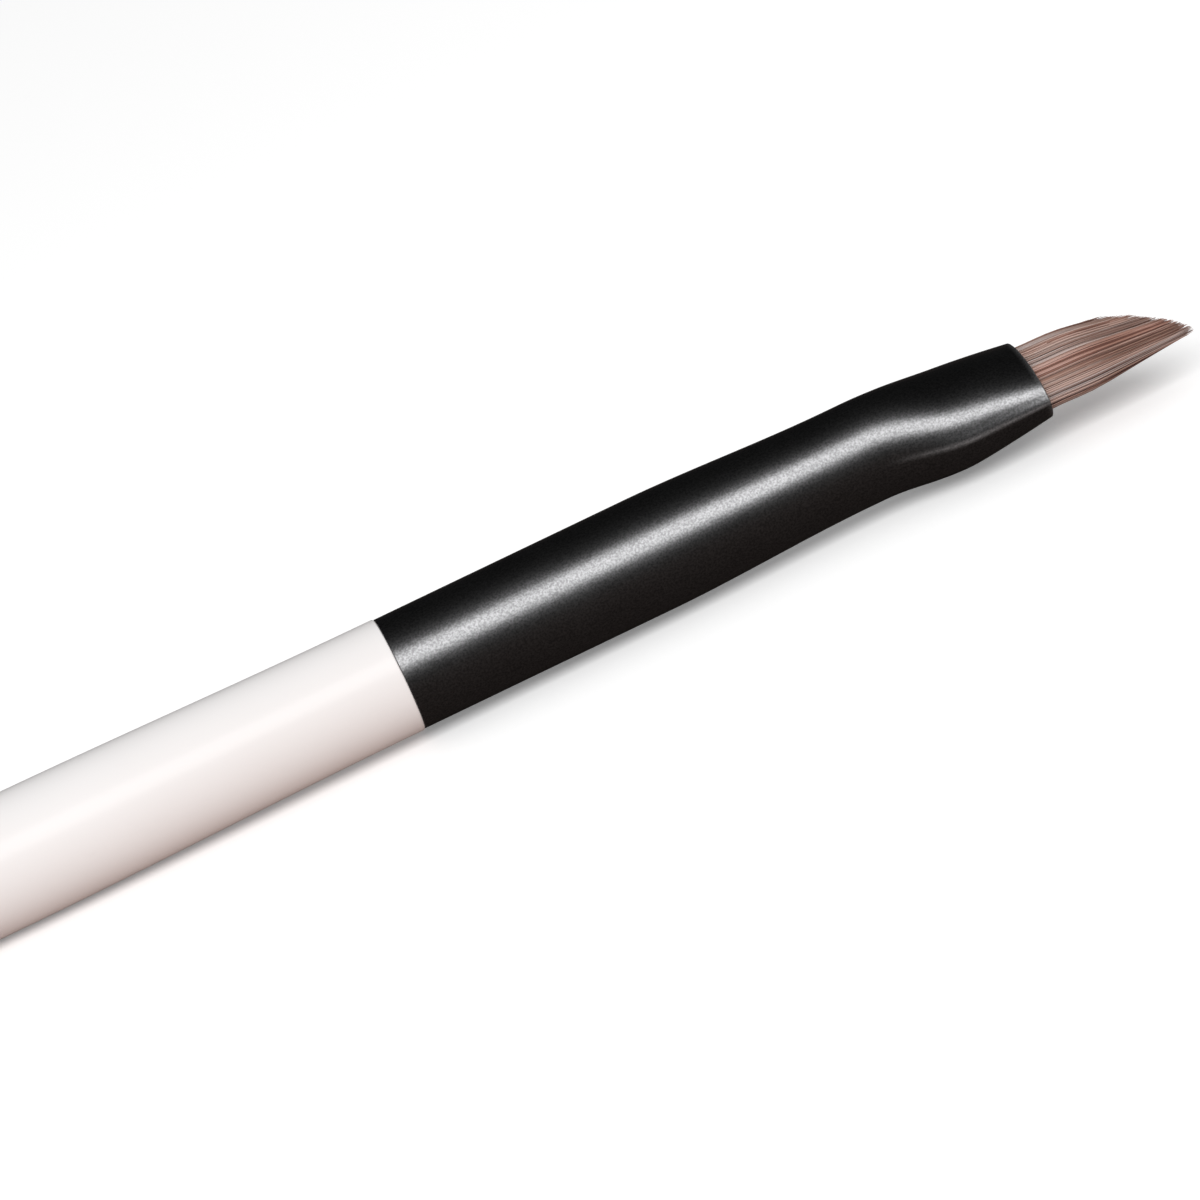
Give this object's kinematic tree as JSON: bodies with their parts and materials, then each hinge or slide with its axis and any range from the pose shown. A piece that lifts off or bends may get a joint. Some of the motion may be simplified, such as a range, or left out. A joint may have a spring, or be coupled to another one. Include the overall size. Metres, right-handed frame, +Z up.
{
  "type": "eyebrow brush",
  "caption": "Double-ended eyebrow brush: a turned handle with an angled flat hair brush at one end and a twisted-wire spoolie at the other.",
  "frame": {"origin": "on the surface the brush lies on, at the middle of its overall length, under the handle", "axes": "+X along the brush towards the hair end, +Z up, out of the pressed face of the hair ferrule"},
  "size_m": [0.1867, 0.0076, 0.0072],
  "materials": {
    "handle_lacquer": "gloss white lacquer over turned wood",
    "ferrule_black": "black satin anodised, finely grained",
    "glue": "set epoxy, clear amber",
    "hair": "fine brown hair with a soft sheen",
    "bush": "moulded black plastic",
    "wire": "drawn stainless wire",
    "bristles": "dark nylon filaments"
  },
  "bodies": {
    "root": {"handle": "handle_lacquer", "brush_ferrule": "ferrule_black", "hair_glue_plug": "glue", "hair_tuft": "hair", "spoolie_ferrule": "ferrule_black", "spoolie_bush": "bush", "spoolie_wire": "wire", "spoolie_bristles": "bristles"}
  },
  "joints": []
}
